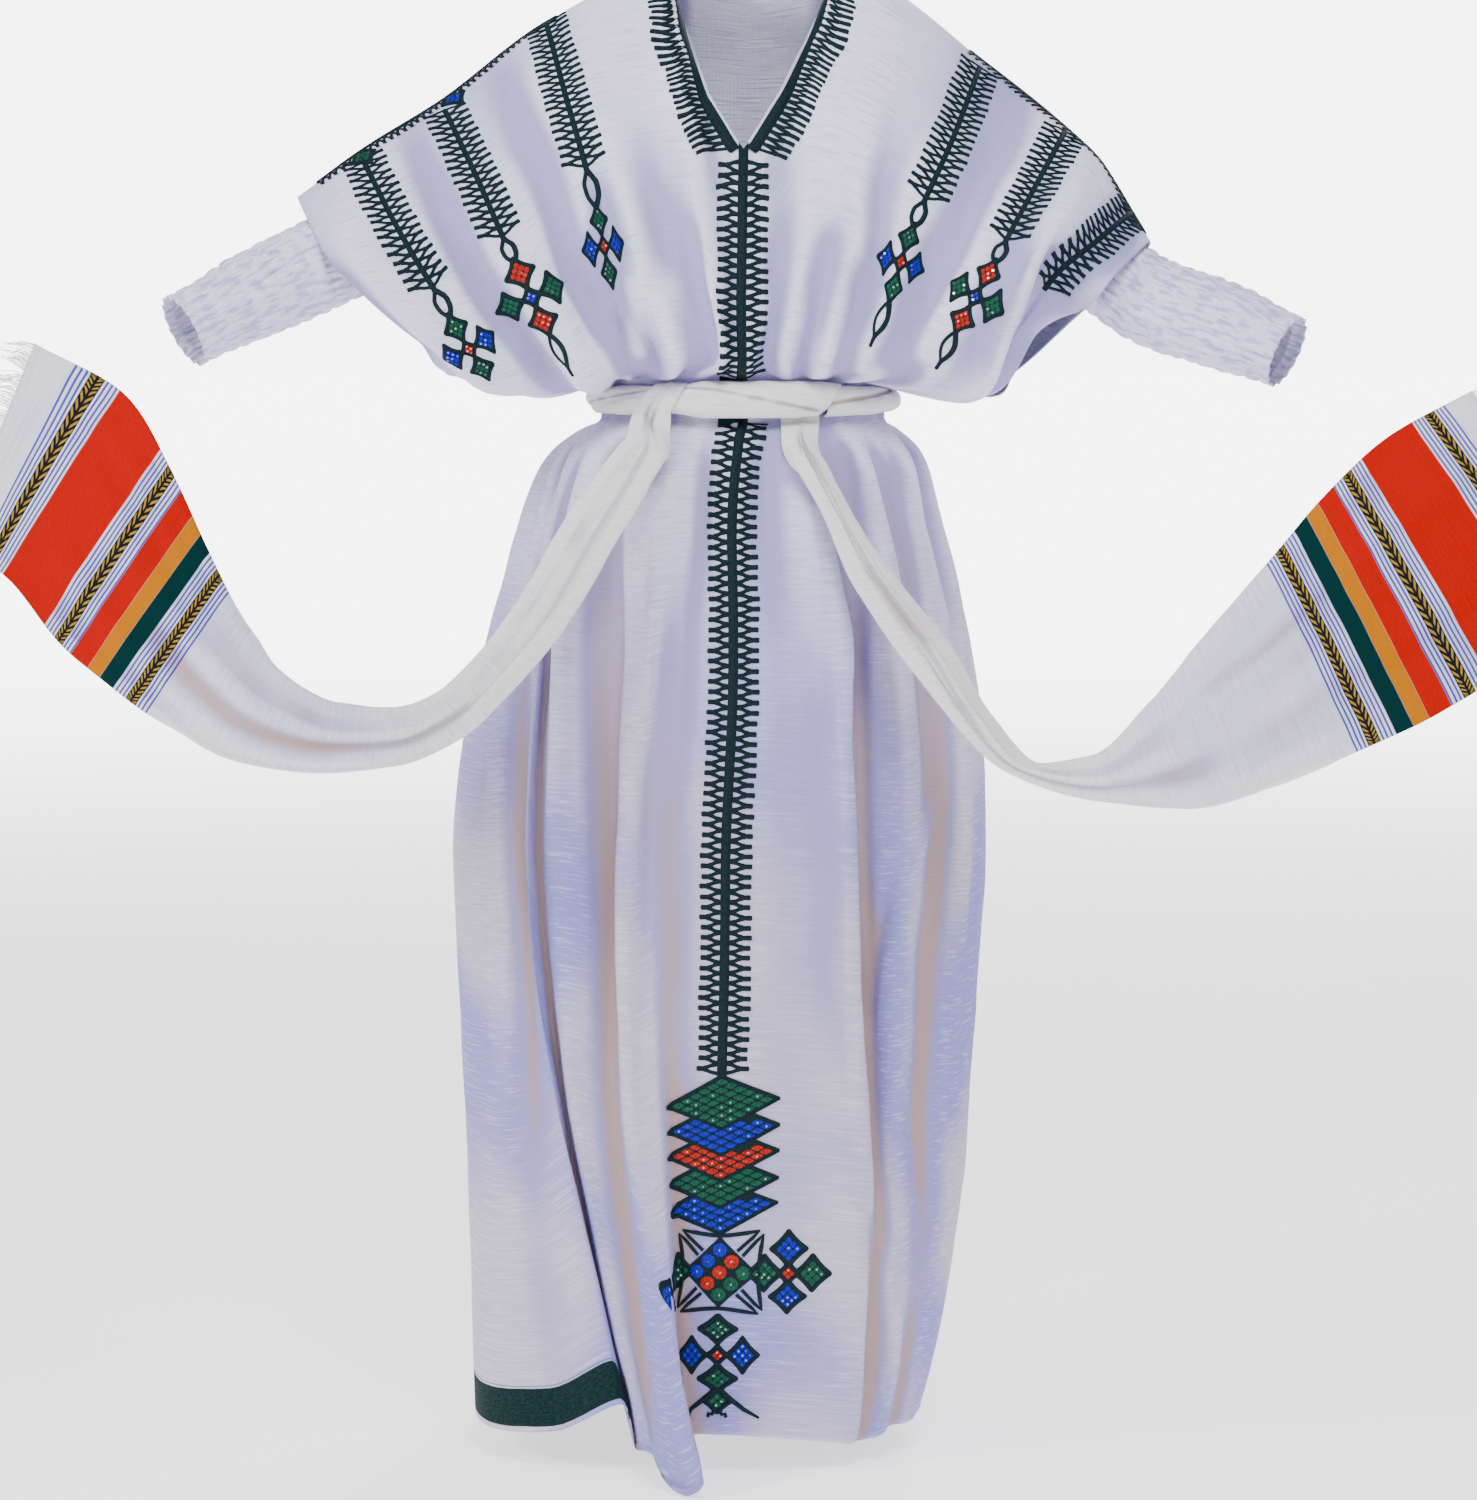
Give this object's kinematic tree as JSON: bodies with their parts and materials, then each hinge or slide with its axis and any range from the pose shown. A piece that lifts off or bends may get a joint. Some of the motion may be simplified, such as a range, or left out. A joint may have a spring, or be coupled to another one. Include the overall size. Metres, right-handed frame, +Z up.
{
  "type": "habesha kemis dress",
  "caption": "Long cotton dress worn on a figure's hollow shape, with wide draped sleeves over shirred ones, a V neck and a knotted sash whose fringed ends are held out.",
  "frame": {"origin": "between the shoulders, on the level of the shoulder line beside the neck", "axes": "+X to the wearer's left, +Y to the wearer's back, +Z up"},
  "size_m": [1.5454, 0.4728, 1.4414],
  "materials": {
    "front_cotton": "soft matt hand-woven cotton, off-white, with embroidery in teal, blue, red and green",
    "back_cotton": "soft matt hand-woven cotton, off-white",
    "shirred_cotton": "white cotton gathered on elastic rows",
    "belt_cotton": "off-white hand-woven cotton, rolled",
    "tail_cotton": "off-white hand-woven cotton with woven coloured border bands",
    "fringe_cotton": "loose white warp threads"
  },
  "bodies": {
    "root": {"dress_front": "front_cotton", "dress_back": "back_cotton", "sleeve_shirred_right": "shirred_cotton", "sleeve_shirred_left": "shirred_cotton", "belt_waist": "belt_cotton", "belt_cross": "belt_cotton", "belt_tail_right": "tail_cotton", "belt_tail_left": "tail_cotton", "fringe_right": "fringe_cotton", "fringe_left": "fringe_cotton"}
  },
  "joints": []
}
